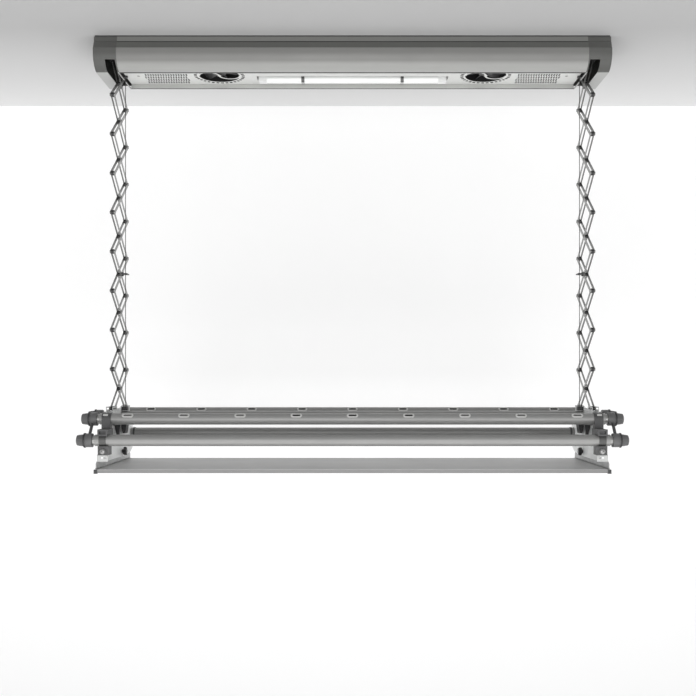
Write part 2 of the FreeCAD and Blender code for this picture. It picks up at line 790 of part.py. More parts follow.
def clip_shape():
    """A flat eye that steadies the rope, on a boss bored for the crossing pin."""
    edge = OUTER_FACE + THICK + HEAD
    boss = pin(0, 5.5, -edge - 3.6, -edge - 0.2).translated(Vector(size("scissor_place"), 0, 0))
    bore = pin(0, PIN + 0.06, -edge - 2.2, 0).translated(Vector(size("scissor_place"), 0, 0))
    rope = size("rope_place")
    outer_edge = size("scissor_place") - edge - 3.4
    arm = slab(rope - 5, outer_edge - rope + 5, -17, 28, -1.5, 3)
    travel = (FRONT_LOW - FRONT_HIGH) / 2
    crossing = REAR - size("spread / 2")
    window = oval(travel + 6, 4.6, 10)
    window.rotate(Vector(), Vector(0, 0, 1), 90)
    window.translate(Vector(rope, -crossing + travel / 2, -5))
    return boss.cut(bore).fuse(arm).cut(window).removeSplitter()


node(both("hanger_pair", shaped("hanger", hanger_shape())), "scissor_hangers")
node(both("foot_pair", shaped("foot", foot_shape())), "scissor_feet")
clip_level = "0 - pivot_depth - drop * %g / %d" % (CLIP_CELL - 0.5, CELLS)
rope_clip = shaped("rope_clip", clip_shape(), "0", "rear_pivot - spread / 2", clip_level)
node(both("rope_clip_pair", rope_clip), "rope_guide_clips")

ROPE_END = "(pivot_depth + drop - 3)"
rope_length = ROPE_END + " - shaft_depth"
rope = rod("rope", "rope_size / 2", rope_length, "rope_place", "0", "0 - " + ROPE_END, "Z")
node(both("rope_pair", rope), "lift_ropes")
anchor_end = size("scissor_place") - CHANNEL - CHANNEL_WALL
anchor = box(
    "anchor", "%.3f - rope_place + 6" % anchor_end, "16", "10",
    "rope_place - 6", "0 - 8", "0 - %s - 10" % ROPE_END,
)
node(both("anchor_pair", anchor), "rope_anchors")

# ---------------------------------------------------------------- rack

TUBE = size("tube_size / 2")
SIDE = size("side_place")
UPPER_FRONT = (-size("upper_row"), -size("upper_front_depth"))
UPPER_REAR = (size("upper_row"), -size("upper_rear_depth"))
MIDDLE = (0.0, -size("middle_depth"))
LOWER_FRONT = (-size("lower_row"), -size("lower_depth"))
LOWER_REAR = (size("lower_row"), -size("lower_depth"))
KNOB_Z = -size("knob_depth")
KNOB_ROW = size("knob_row")
EYELET_TURN = Rotation(Vector(1, 0, 0), size("eyelet_turn"))


def side_plate_shape():
    """The plate at one end of the rack, arched over the scissor's foot, behind the front poles."""
    front = UPPER_FRONT[0] + TUBE + 10.5
    back_y, back_z = UPPER_REAR
    tail_y, tail_z = LOWER_REAR
    lobe = TUBE + 6
    foot = KNOB_Z - 13
    face = outline([
        (front, MIDDLE[1] - 10), (front + 43, MIDDLE[1] + TUBE - 2), (0, MIDDLE[1] + TUBE + 4, 1),
        (back_y - 6, back_z + lobe - 3), (back_y + 16, back_z + 10, 1), (tail_y + 18, tail_z + 36),
        (tail_y + lobe + 6, tail_z + 24), (tail_y + lobe + 6, tail_z - 38), (tail_y - 6, foot + 6),
        (tail_y - 70, foot), (front + 8, foot), (front, foot + 12),
    ])
    shape = face.extrude(Vector(size("side_thick"), 0, 0))
    for radius, y, z in ((TUBE, *MIDDLE), (3, KNOB_ROW, KNOB_Z)):
        shape = shape.cut(Part.makeCylinder(radius, 10, Vector(-5, y, z), Vector(1, 0, 0)))
    return shape


node(both("side_plate_pair", shaped("side_plate", side_plate_shape(), "side_place")), "side_plates")


def pole(label, half, centre, holes=False):
    """A hollow pole along X, slotted for coat hangers towards its front when it has holes."""
    y, z = ("%.3f" % value for value in centre)
    length = "2 * %s + 2" % half
    start = "0 - %s - 1" % half
    tools = [rod(label + "_inside", "tube_size / 2 - tube_wall", length, start, y, z)]
    if holes:
        for step in range(-4, 5):
            opening = oval(size("eyelet_length - 8"), size("eyelet_width - 6"), 20)
            x = "%d * eyelet_pitch" % step
            tools.append(shaped(label + "_slot", opening, x, y, z, EYELET_TURN))
    outside = rod(label + "_outside", "tube_size / 2", "2 * " + half, "0 - " + half, y, z)
    return node(cut(label + "_pole", outside, tools), label)


THROUGH = "(side_place + side_thick + 1)"
pole("upper_front_pole", THROUGH, UPPER_FRONT, holes=True)
pole("upper_middle_pole", THROUGH, MIDDLE)
pole("upper_rear_pole", "side_place", UPPER_REAR, holes=True)
pole("lower_front_pole", THROUGH, LOWER_FRONT)
pole("lower_rear_pole", "side_place", LOWER_REAR)


def eyelet_shape():
    """An oval rim that follows the top of a pole."""
    length = size("eyelet_length")
    width = size("eyelet_width")
    skin = Part.makeCylinder(TUBE + 1.2, length, Vector(-length / 2, 0, 0), Vector(1, 0, 0))
    skin = skin.cut(Part.makeCylinder(TUBE, length, Vector(-length / 2, 0, 0), Vector(1, 0, 0)))
    return skin.common(oval(length, width, 30)).cut(oval(length - 8, width - 6, 30))


eyelets = []
for y, z in (UPPER_FRONT, UPPER_REAR):
    for step in range(-4, 5):
        x = "%d * eyelet_pitch" % step
        eyelets.append(shaped("eyelet", eyelet_shape(), x, "%.3f" % y, "%.3f" % z, EYELET_TURN))
node(group("eyelet_set", eyelets), "hanger_eyelets")


def housing_wedge_shape():
    """The black moulding behind the poles, with two wedges that taper to their feet."""
    top = MIDDLE[1] - TUBE - 1.5
    low = top - 5.5
    tip = low - 27
    start = size("scissor_place") - CHANNEL + 1
    parts = [slab(start, SIDE - start, -66, 166, low, top - low)]
    for front, length in ((-8, 14), (62, 32)):
        face = outline([(start, low), (SIDE, low), (SIDE - 5, tip), (start + 4, tip)])
        face.rotate(Vector(), Vector(0, 0, 1), -90)
        parts.append(face.extrude(Vector(0, length, 0)).translated(Vector(0, front, 0)))
    return parts[0].multiFuse(parts[1:]).removeSplitter()


node(both("wedge_pair", shaped("wedge", housing_wedge_shape())), "foot_mouldings")

STRAP = 1.2
SCREW_INSET = 8.0
CLAMP = SIDE - 26  # the inner face of the clamps on the front poles
CLAMP_LENGTH = 22.0
BLOCK = CLAMP - 4  # the inner face of the blocks round the lower pole
BLOCK_LENGTH = 24.0


def clamp_shape():
    """The moulding that ties the front poles to the plate, its lower block, and the rear pole's band."""
    upper_y, upper_z = UPPER_FRONT
    lower_y, lower_z = LOWER_FRONT
    along = Vector(1, 0, 0)
    sleeve = Part.makeCylinder(TUBE + 1.8, CLAMP_LENGTH, Vector(CLAMP, upper_y, upper_z), along)
    lug = slab(CLAMP, CLAMP_LENGTH, upper_y - 16, 20, lower_z + 14, upper_z - lower_z - 16)
    block = slab(BLOCK, BLOCK_LENGTH, lower_y - 18, 62, lower_z + 11, 16)
    bridge = slab(CLAMP + 11, CLAMP_LENGTH - 10, upper_y + 2, 44, lower_z + 12, 14)
    pad = slab(CLAMP + CLAMP_LENGTH, SIDE - CLAMP - CLAMP_LENGTH, upper_y + 25, 21, lower_z + 12, 14)
    recess = slab(BLOCK + 4, BLOCK_LENGTH - 8, lower_y - 20, 8, lower_z + 15, 8)
    upper_hole = Part.makeCylinder(TUBE, 60, Vector(CLAMP - 20, upper_y, upper_z), along)
    lower_hole = Part.makeCylinder(TUBE + STRAP, 60, Vector(CLAMP - 20, lower_y, lower_z), along)
    top = sleeve.multiFuse([lug, block, bridge, pad])
    top = top.cut(recess).cut(upper_hole).cut(lower_hole)
    low = slab(BLOCK, BLOCK_LENGTH, lower_y - 14, 40, lower_z - 35.5, 22).cut(lower_hole)
    screw = Vector(CLAMP + SCREW_INSET, lower_y - 20, lower_z - 26)
    low = low.cut(Part.makeCylinder(2.5, 30, screw, Vector(0, 1, 0)))
    band_start = Vector(SIDE - 12, *LOWER_REAR)
    band = Part.makeCylinder(TUBE + 1.2, 5, band_start, along)
    band = band.cut(Part.makeCylinder(TUBE, 60, Vector(SIDE - 30, *LOWER_REAR), along))
    return Part.makeCompound([top.removeSplitter(), low, band])


def strap_shape():
    """The metal strap round the lower pole and the slotted tab that holds the tray's end plate."""
    start = CLAMP + 1
    y, z = LOWER_FRONT
    ring = Part.makeCylinder(TUBE + STRAP, 17, Vector(start, y, z), Vector(1, 0, 0))
    ring = ring.cut(Part.makeCylinder(TUBE, 20, Vector(start - 1, y, z), Vector(1, 0, 0)))
    level = z - 35.5
    reach = SIDE + size("side_thick") - start
    tab = slab(start, reach, y + 10, 2, level - 17, 17)
    slot = oval(14, 4, 20)
    slot.rotate(Vector(), Vector(1, 0, 0), 90)
    slot.translate(Vector(start + 11, y + 20, level - 8))
    return Part.makeCompound([ring, tab.cut(slot)])


node(both("clamp_pair", shaped("clamp", clamp_shape())), "pole_clamps")
node(both("strap_pair", shaped("strap", strap_shape())), "clamp_straps")

screw_x = "side_place - 18"
screw_z = "0 - lower_depth - 26"
clamp_screw = fuse(
    "clamp_screw",
    [
        rod("clamp_screw_head", "6.5", "3.5", screw_x, "0 - lower_row - 17.5", screw_z, "Y"),
        rod("clamp_screw_shank", "2.5", "20", screw_x, "0 - lower_row - 14", screw_z, "Y"),
    ],
)
node(both("clamp_screw_pair", clamp_screw), "clamp_screws")

# ---------------------------------------------------------------- tray


def tray_shape():
    """A shallow folded pan, upside down, with long shallow grooves on its top."""
    length, width = size("tray_length"), size("tray_width")
    top, lip, sheet_metal = -size("tray_depth"), size("tray_lip"), size("tray_sheet")
    pan = slab(-length / 2, length, -width / 2, width, top - lip, lip)
    inner_length = length - 2 * sheet_metal
    inner_width = width - 2 * sheet_metal
    hollow = slab(
        -inner_length / 2, inner_length, -inner_width / 2, inner_width, top - lip - 1, lip + 1 - sheet_metal
    )
    pan = pan.cut(hollow)
    groove = width / 2 - 41
    for y in (-groove, 59 - groove, groove - 59, groove):
        pan = pan.cut(slab(-length / 2, length, y - 0.7, 1.4, top - 0.6, 1))
    return pan


def tray_end_shape():
    """The end plate on the tray: toothed below, with a tab that the knob clamps."""
    half = size("tray_width / 2") - 2
    base = -size("tray_depth")
    rim = base + 21
    tab = KNOB_Z + 10
    points = [(-half, base + 13), (-half + 15, rim)]
    points += [(KNOB_ROW - 14, rim), (KNOB_ROW - 11, tab), (KNOB_ROW + 11, tab), (KNOB_ROW + 14, rim)]
    points += [(half - 15, rim), (half, base + 13), (half, base)]
    teeth = 31
    pitch = 2 * half / teeth
    for tooth in range(teeth):
        points.append((half - (tooth + 0.5) * pitch, base + 4))
        points.append((half - (tooth + 1) * pitch, base))
    shape = outline(points).extrude(Vector(1.5, 0, 0))
    return shape.cut(Part.makeCylinder(3, 10, Vector(-5, KNOB_ROW, KNOB_Z), Vector(1, 0, 0)))


def knob_shape():
    """A five-lobed hand knob with its screw and nut, centred on the side plate's hole."""
    lobes = [Part.makeCylinder(6, 9, Vector(-12, 0, 0), Vector(1, 0, 0))]
    for turn in range(5):
        angle = math.radians(90 + 72 * turn)
        centre = Vector(-12, 8 * math.cos(angle), 8 * math.sin(angle))
        lobes.append(Part.makeCylinder(3.6, 9, centre, Vector(1, 0, 0)))
    thick = size("side_thick") + 1.5
    lobes.append(Part.makeCylinder(3, 12 + thick + 5, Vector(-12, 0, 0), Vector(1, 0, 0)))
    lobes.append(Part.makeCylinder(5, 3, Vector(-3, 0, 0), Vector(1, 0, 0)))
    lobes.append(Part.makeCylinder(5, 4, Vector(thick, 0, 0), Vector(1, 0, 0)))
    return lobes[0].multiFuse(lobes[1:]).removeSplitter()


tray = shaped("tray", tray_shape())
node(tray, "drying_tray")
tray_end = shaped("tray_end", tray_end_shape(), "side_place + side_thick")
node(both("tray_end_pair", tray_end), "tray_end_plates")
knob = shaped("knob", knob_shape(), "side_place", "knob_row", "0 - knob_depth")
node(both("knob_pair", knob), "tray_knobs")

feet = []
for side in (-1, 1):
    corner = box(
        "corner", "8", "8", "tray_lip + 2",
        "tray_length / 2 - 6", "%d * (tray_width / 2 - 2) - 4" % side, "0 - tray_depth - tray_lip - 2",
    )
    pan = box(
        "pan", "tray_length", "tray_width", "tray_lip",
        "0 - tray_length / 2", "0 - tray_width / 2", "0 - tray_depth - tray_lip",
    )
    feet.append(cut("corner_foot", corner, [pan]))
feet += [mirrored("corner_left", foot) for foot in feet]
node(group("feet_set", feet), "tray_feet")

# ---------------------------------------------------------------- extensions

INNER = "(tube_size / 2 - tube_wall - slide_clearance)"
COLLAR = 18.0
RING = 3.0
KNOB = 18.0


def extension(number, centre, extra):
    """The inner tube of one pole, and its collar, ring and knob."""
    y, z = ("%.3f" % value for value in centre)
    end = "(extension_end + %s)" % extra
    name = "extension_%d" % number
    outside = rod(name, INNER, "extension_length", end + " - extension_length", y, z)
    inside = rod(
        name + "_bore", INNER + " - 1.2", "extension_length + 2", end + " - extension_length - 1", y, z
    )
    tip = end + " + %g" % (COLLAR + RING)
    parts = [
        rod(name + "_plug", INNER + " - 1.2", "16", end + " - 15", y, z),
        rod(name + "_collar", "tube_size / 2 + 2.8", str(COLLAR), end, y, z),
        rod(name + "_ring", "tube_size / 2 + 4", str(RING), end + " + %g" % COLLAR, y, z),
        cone(name + "_knob", "tube_size / 2 + 0.5", "tube_size / 2 - 2", str(KNOB), tip, y, z),
    ]
    return cut(name + "_tube", outside, [inside]), parts


def end_link():
    """The bar that ties the collar of the upper front pole to the lower one's."""
    (y1, z1), (y2, z2) = UPPER_FRONT, LOWER_FRONT
    length = math.hypot(y2 - y1, z2 - z1)
    angle = math.degrees(math.atan2(z2 - z1, y2 - y1))
    shape = slab(0, 6, 0, length, -4, 8)
    shape.rotate(Vector(), Vector(1, 0, 0), angle)
    return shaped("end_link", shape, "extension_end + 8", "%.3f" % y1, "%.3f" % z1)


front_tube, front_parts = extension(1, UPPER_FRONT, "0")
lower_tube, lower_parts = extension(2, LOWER_FRONT, "0")
middle_tube, middle_parts = extension(3, MIDDLE, "middle_extra")
tubes = group("extension_tubes", [front_tube, lower_tube, middle_tube])
fittings = group(
    "fittings",
    [fuse("front_fitting", front_parts + lower_parts + [end_link()]), fuse("middle_fitting", middle_parts)],
)
node(tubes, "extension_tubes_right")
node(mirrored("extension_tubes_mirrored", tubes), "extension_tubes_left")
node(fittings, "end_fittings_right")
node(mirrored("fittings_mirrored", fittings), "end_fittings_left")

# ---------------------------------------------------------------- check and write

doc.recompute()
for item in doc.Objects:
    if "Invalid" in item.State or "Error" in item.State:
        raise RuntimeError("%s did not build: %s" % (item.Name, item.State))
for label, item in NODES.items():
    if item.Shape.isNull() or not item.Shape.isValid():
        raise RuntimeError("%s has no sound shape" % label)
os.makedirs("parts", exist_ok=True)
for label, item in NODES.items():
    item.Shape.exportStep("parts/%s.step" % label)
print(len(NODES), "sub-parts,", sum(len(item.Shape.Solids) for item in NODES.values()), "solids")
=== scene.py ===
import math

import bmesh
import bpy
from mathutils import Matrix, Vector


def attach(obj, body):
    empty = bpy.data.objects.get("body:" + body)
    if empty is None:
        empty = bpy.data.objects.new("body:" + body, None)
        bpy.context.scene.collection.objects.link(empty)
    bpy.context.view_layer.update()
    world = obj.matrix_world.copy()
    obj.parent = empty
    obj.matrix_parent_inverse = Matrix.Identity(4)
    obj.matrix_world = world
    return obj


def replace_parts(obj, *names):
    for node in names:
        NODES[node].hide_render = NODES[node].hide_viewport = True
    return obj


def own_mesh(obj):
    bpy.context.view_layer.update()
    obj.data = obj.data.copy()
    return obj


# The ceiling clothes rack, lowered, under a pale ceiling in front of a white wall.
# Lengths are in metres in the CAD model's own frame.

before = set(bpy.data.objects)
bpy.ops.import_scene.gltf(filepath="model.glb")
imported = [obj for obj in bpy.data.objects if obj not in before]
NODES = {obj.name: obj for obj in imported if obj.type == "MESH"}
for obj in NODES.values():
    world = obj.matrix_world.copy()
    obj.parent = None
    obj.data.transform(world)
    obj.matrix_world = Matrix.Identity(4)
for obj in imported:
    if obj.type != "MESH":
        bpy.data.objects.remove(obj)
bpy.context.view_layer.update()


# ---------------------------------------------------------------- material code


class Graph:
    """The node tree of a material, with short ways to add nodes."""

    def __init__(self, name):
        self.material = bpy.data.materials.new(name)
        self.material.use_nodes = True
        self.tree = self.material.node_tree
        self.shader = self.tree.nodes["Principled BSDF"]

    def add(self, kind, inputs=(), **settings):
        node = self.tree.nodes.new(kind)
        for key, value in settings.items():
            setattr(node, key, value)
        for key, value in dict(inputs).items():
            if isinstance(value, bpy.types.NodeSocket):
                self.tree.links.new(value, node.inputs[key])
            else:
                node.inputs[key].default_value = value
        return node

    def link(self, output, socket):
        self.tree.links.new(output, self.shader.inputs[socket])

    def set(self, **values):
        for key, value in values.items():
            self.shader.inputs[key.replace("_", " ")].default_value = value

    def place(self):
        return self.add("ShaderNodeTexCoord").outputs["Object"]

    def stretched(self, scale):
        """Object coordinates scaled by axis, for marks that run one way."""
        return self.add("ShaderNodeMapping", {"Vector": self.place(), "Scale": scale}).outputs[0]

    def noise(self, scale, detail=3.0, vector=None):
        vector = vector or self.place()
        inputs = {"Vector": vector, "Scale": scale, "Detail": detail}
        return self.add("ShaderNodeTexNoise", inputs).outputs["Fac"]

    def ramp(self, factor, stops):
        """A colour ramp through (position, grey or colour) stops."""
        node = self.add("ShaderNodeValToRGB", {"Fac": factor})
        while len(node.color_ramp.elements) < len(stops):
            node.color_ramp.elements.new(0.5)
        for element, (where, colour) in zip(node.color_ramp.elements, stops):
            element.position = where
            element.color = rgba(colour)
        return node.outputs["Color"]

    def span(self, factor, low, high):
        """The factor's middle range turned into a number between low and high."""
        inputs = {"Value": factor, 1: 0.3, 2: 0.7, 3: low, 4: high}
        return self.add("ShaderNodeMapRange", inputs).outputs["Result"]

    def fade(self, axis, start, end):
        """A number that goes from 0 to 1 as a coordinate goes from start to end."""
        inputs = {"Value": axis, 1: start, 2: end, 3: 0.0, 4: 1.0}
        return self.add("ShaderNodeMapRange", inputs).outputs["Result"]

    def blend(self, factor, first, second):
        """Two colours mixed by a factor."""
        node = self.add("ShaderNodeMix", data_type="RGBA")
        self.tree.links.new(factor, node.inputs[0])
        for socket, value in ((node.inputs[6], first), (node.inputs[7], second)):
            if isinstance(value, bpy.types.NodeSocket):
                self.tree.links.new(value, socket)
            else:
                socket.default_value = rgba(value)
        return node.outputs[2]

    def maths(self, operation, first, second=0.0):
        return self.add("ShaderNodeMath", {0: first, 1: second}, operation=operation).outputs[0]

    def bump(self, height, strength, distance=0.001):
        inputs = {"Height": height, "Strength": strength, "Distance": distance}
        self.link(self.add("ShaderNodeBump", inputs).outputs[0], "Normal")


def rgba(colour):
    """A grey or an (r, g, b) as a linear colour with alpha."""
    if isinstance(colour, (int, float)):
        return (colour, colour, colour, 1.0)
    return tuple(colour) + (1.0,)


def worn(graph, colour, change, scale, roughness, spread):
    """Colour and gloss that vary a little over the surface, as on any made part."""
    large = graph.noise(scale, 4.0)
    dark = [channel * (1 - change) for channel in rgba(colour)[:3]]
    light = [min(1.0, channel * (1 + change)) for channel in rgba(colour)[:3]]
    shade = graph.ramp(large, [(0.3, dark), (0.7, light)])
    graph.link(shade, "Base Color")
    graph.link(graph.span(graph.noise(scale * 3.1), roughness - spread, roughness + spread), "Roughness")
    return shade


def painted(name, colour, roughness=0.45, grain=900.0, bump=0.12, metallic=0.0):
    """Powder paint or moulded plastic: even colour with a fine skin."""
    graph = Graph(name)
    worn(graph, colour, 0.06, 14.0, roughness, 0.06)
    graph.set(Metallic=metallic)
    graph.bump(graph.noise(grain, 2.0), bump, 0.0004)
    return graph.material


def drawn_metal(name, colour, roughness=0.32, metallic=0.85):
    """Extruded or rolled metal with fine straight lines along its length."""
    graph = Graph(name)
    shade = worn(graph, colour, 0.04, 5.0, roughness, 0.04)
    lines = graph.noise(9.0, 4.0, graph.stretched((0.03, 130.0, 130.0)))
    dark = [channel * 0.86 for channel in rgba(colour)[:3]]
    graph.link(graph.blend(graph.span(lines, 0.0, 0.6), shade, dark), "Base Color")
    graph.set(Metallic=metallic)
    graph.bump(graph.noise(1300.0, 2.0), 0.05, 0.0003)
    return graph.material


def galvanised(name, colour, metallic=0.8):
    """Zinc-coated sheet with its faint flowers."""
    graph = Graph(name)
    inputs = {"Vector": graph.place(), "Scale": 70.0}
    flowers = graph.add("ShaderNodeTexVoronoi", inputs).outputs["Color"]
    grey = graph.add("ShaderNodeRGBToBW", {"Color": flowers}).outputs[0]
    low = [channel * 0.82 for channel in rgba(colour)[:3]]
    high = [min(1.0, channel * 1.12) for channel in rgba(colour)[:3]]
    graph.link(graph.ramp(grey, [(0.15, low), (0.85, high)]), "Base Color")
    graph.link(graph.span(grey, 0.34, 0.5), "Roughness")
    graph.set(Metallic=metallic)
    graph.bump(graph.noise(160.0, 3.0), 0.08, 0.0004)
    return graph.material


def zone(graph, axis, low, high):
    """1 where a coordinate lies between two values, else 0."""
    above = graph.maths("GREATER_THAN", axis, low)
    return graph.maths("MULTIPLY", above, graph.maths("LESS_THAN", axis, high))


def housing_finish():
    """Silver extrusion with painted shade on the band below its top strip, painted light on the lower
    face, and white inner lips.
    """
    graph = Graph("housing_finish")
    silver = (0.205, 0.205, 0.197)
    axes = graph.add("ShaderNodeSeparateXYZ", {"Vector": graph.place()}).outputs
    shade = worn(graph, silver, 0.04, 5.0, 0.45, 0.04)
    lines = graph.noise(9.0, 4.0, graph.stretched((0.03, 150.0, 150.0)))
    drawn = graph.blend(graph.span(lines, 0.0, 0.5), shade, [channel * 0.9 for channel in silver])
    # painted light: the lower face is made paler towards the bottom, where light from below falls on it
    lit_lower_face = graph.blend(graph.fade(axes["Z"], -0.064, -0.080), drawn, (0.410, 0.412, 0.400))
    strip = graph.blend(zone(graph, axes["Z"], -0.0152, 0.0), lit_lower_face, (0.208, 0.209, 0.200))
    # painted shade: the sloped band below the top strip is made darker
    shaded_band = graph.blend(zone(graph, axes["Z"], -0.0332, -0.0152), strip, (0.132, 0.134, 0.126))
    joint = graph.blend(zone(graph, axes["Z"], -0.0170, -0.0145), shaded_band, (0.030, 0.030, 0.028))
    inner = zone(graph, graph.maths("ABSOLUTE", axes["Y"]), 0.0, 0.0746)
    lip = graph.maths("MULTIPLY", inner, zone(graph, axes["Z"], -0.0862, -0.0700))
    edge = graph.maths("MULTIPLY", inner, zone(graph, axes["Z"], -0.0880, -0.0855))
    pale = graph.blend(lip, joint, (0.60, 0.605, 0.59))
    graph.link(graph.blend(edge, pale, (0.05, 0.05, 0.048)), "Base Color")
    graph.set(Metallic=0.25)
    graph.bump(graph.noise(1100.0, 2.0), 0.05, 0.0003)
    return graph.material


BAY_END = 0.262  # just past the lamp trough, whose inside stays white
OPENING_HALF = 0.0715


def panel_finish():
    """White sheet with painted shade on the inner walls of its fan and vent openings."""
    graph = Graph("panel_finish")
    white = worn(graph, (0.68, 0.685, 0.67), 0.04, 14.0, 0.45, 0.06)
    axes = graph.add("ShaderNodeSeparateXYZ", {"Vector": graph.place()}).outputs
    # painted shade: the walls inside the fan and vent openings are made near black
    inside = zone(graph, axes["Z"], -0.0729, -0.0600)
    beyond = graph.maths("GREATER_THAN", graph.maths("ABSOLUTE", axes["X"]), BAY_END)
    within = graph.maths("LESS_THAN", graph.maths("ABSOLUTE", axes["Y"]), OPENING_HALF)
    shaded_opening = graph.maths("MULTIPLY", inside, graph.maths("MULTIPLY", beyond, within))
    graph.link(graph.blend(shaded_opening, white, (0.012, 0.012, 0.012)), "Base Color")
    graph.bump(graph.noise(800.0, 2.0), 0.05, 0.0004)
    return graph.material


def cap_finish():
    """Dark moulded plastic with painted light on its flat underside."""
    graph = Graph("cap_finish")
    dark = worn(graph, (0.088, 0.089, 0.084), 0.05, 9.0, 0.5, 0.05)
    height = graph.add("ShaderNodeSeparateXYZ", {"Vector": graph.place()}).outputs["Z"]
    # painted light: the flat underside is made pale where light from below falls on it
    lit_cap_underside = zone(graph, height, -0.0880, -0.0858)
    graph.link(graph.blend(lit_cap_underside, dark, (0.42, 0.425, 0.415)), "Base Color")
    graph.bump(graph.noise(1100.0, 2.0), 0.14, 0.0004)
    return graph.material


SCISSOR_X = 0.610


def link_finish(name):
    """Dark strip steel with painted light on the inner strips, and black plastic sleeves between the
    strips.
    """
    graph = Graph(name)
    axes = graph.add("ShaderNodeSeparateXYZ", {"Vector": graph.place()})
    across = graph.maths("SUBTRACT", graph.maths("ABSOLUTE", axes.outputs["X"]), SCISSOR_X)
    sleeve = graph.maths("LESS_THAN", graph.maths("ABSOLUTE", across), 0.00335)
    steel = worn(graph, (0.135, 0.135, 0.13), 0.16, 60.0, 0.36, 0.08)
    # painted light: the inner strips are made paler where their faces catch light
    lit_inner_strips = graph.blend(graph.maths("LESS_THAN", across, -0.0033), steel, (0.30, 0.30, 0.295))
    graph.link(graph.blend(sleeve, lit_inner_strips, (0.018, 0.018, 0.019)), "Base Color")
    graph.link(graph.maths("SUBTRACT", 0.85, graph.maths("MULTIPLY", sleeve, 0.85)), "Metallic")
    graph.bump(graph.noise(700.0, 2.0), 0.12, 0.0003)
    return graph.material


def tray_finish():
    """Rolled pale metal with painted shade on its lip and a dark lower edge."""
    graph = Graph("tray_finish")
    pale = worn(graph, (0.53, 0.53, 0.528), 0.04, 5.0, 0.5, 0.04)
    height = graph.add("ShaderNodeSeparateXYZ", {"Vector": graph.place()}).outputs["Z"]
    # painted shade: the lip is made darker than the upward-facing top
    lip = graph.blend(zone(graph, height, -1.0920, -1.0835), pale, (0.22, 0.22, 0.218))
    edge = graph.blend(zone(graph, height, -1.0920, -1.0898), lip, (0.07, 0.07, 0.069))
    graph.link(edge, "Base Color")
    graph.set(Metallic=0.2)
    graph.bump(graph.noise(9.0, 4.0, graph.stretched((0.03, 130.0, 130.0))), 0.04, 0.0003)
    return graph.material


def strap_finish():
    """Dark strap round the pole and bright zinc where it reaches down to the tray."""
    graph = Graph("strap_finish")
    dark = worn(graph, (0.068, 0.068, 0.066), 0.08, 40.0, 0.4, 0.06)
    height = graph.add("ShaderNodeSeparateXYZ", {"Vector": graph.place()}).outputs["Z"]
    tab = zone(graph, height, -1.100, -1.030)
    graph.link(graph.blend(tab, dark, (0.40, 0.405, 0.40)), "Base Color")
    graph.link(graph.maths("MULTIPLY", tab, 0.6), "Metallic")
    graph.bump(graph.noise(500.0, 2.0), 0.08, 0.0003)
    return graph.material


def lamp_finish():
    """White fluorescent glass, unlit."""
    graph = Graph("lamp_finish")
    worn(graph, (0.86, 0.87, 0.86), 0.02, 20.0, 0.12, 0.03)
    graph.set(Coat_Weight=0.5, Coat_Roughness=0.05)
    graph.bump(graph.noise(40.0, 1.0), 0.02, 0.0003)
    return graph.material


def wire_finish():
    """Bright steel wire whose tone and gloss vary a little at random."""
    graph = Graph("wire_finish")
    worn(graph, (0.10, 0.10, 0.098), 0.2, 300.0, 0.45, 0.08)
    graph.set(Metallic=0.5)
    graph.bump(graph.noise(2500.0, 2.0), 0.15, 0.0002)
    return graph.material


def circuit_finish():
    """A green circuit board with darker tracks."""
    graph = Graph("circuit_finish")
    inputs = {"Vector": graph.place(), "Scale": 240.0}
    tracks = graph.add("ShaderNodeTexVoronoi", inputs, distance="CHEBYCHEV").outputs["Distance"]
    graph.link(graph.ramp(tracks, [(0.2, (0.01, 0.07, 0.03)), (0.6, (0.02, 0.13, 0.05))]), "Base Color")
    graph.link(graph.span(graph.noise(90.0), 0.35, 0.5), "Roughness")
    graph.bump(tracks, 0.2, 0.0004)
    return graph.material


HOUSING = housing_finish()
CAP = cap_finish()
PANEL = panel_finish()
PLATE = painted("plate_finish", (0.93, 0.94, 0.935), 0.38, 700.0, 0.08)
BLACK = painted("black_plastic", (0.026, 0.026, 0.027), 0.42, 1400.0, 0.18)
CLAMP = painted("clamp_plastic", (0.055, 0.055, 0.056), 0.45, 1300.0, 0.16)
FITTING = painted("fitting_plastic", (0.095, 0.095, 0.096), 0.42, 1300.0, 0.14)
GREY = painted("grey_plastic", (0.30, 0.30, 0.30), 0.45, 1200.0, 0.12)
WHITE = painted("white_plastic", (0.74, 0.745, 0.74), 0.35, 900.0, 0.06)
DARK_STEEL = painted("dark_steel", (0.10, 0.10, 0.10), 0.4, 500.0, 0.12, 0.7)
POLE = drawn_metal("pole_finish", (0.27, 0.27, 0.265), 0.42, 0.4)
TRAY = tray_finish()
INNER_TUBE = drawn_metal("inner_tube_finish", (0.30, 0.30, 0.295), 0.32)
ZINC = galvanised("zinc_finish", (0.46, 0.46, 0.455))
GALVANISED = galvanised("galvanised_finish", (0.52, 0.525, 0.525), 0.3)
FOOT = painted("foot_finish", (0.62, 0.625, 0.62), 0.4, 700.0, 0.08)
LINK = link_finish("link_finish")
STRAP = strap_finish()
EYELET = painted("eyelet_plastic", (0.50, 0.50, 0.49), 0.4, 1200.0, 0.08)
LAMP = lamp_finish()
WIRE = wire_finish()
CIRCUIT = circuit_finish()

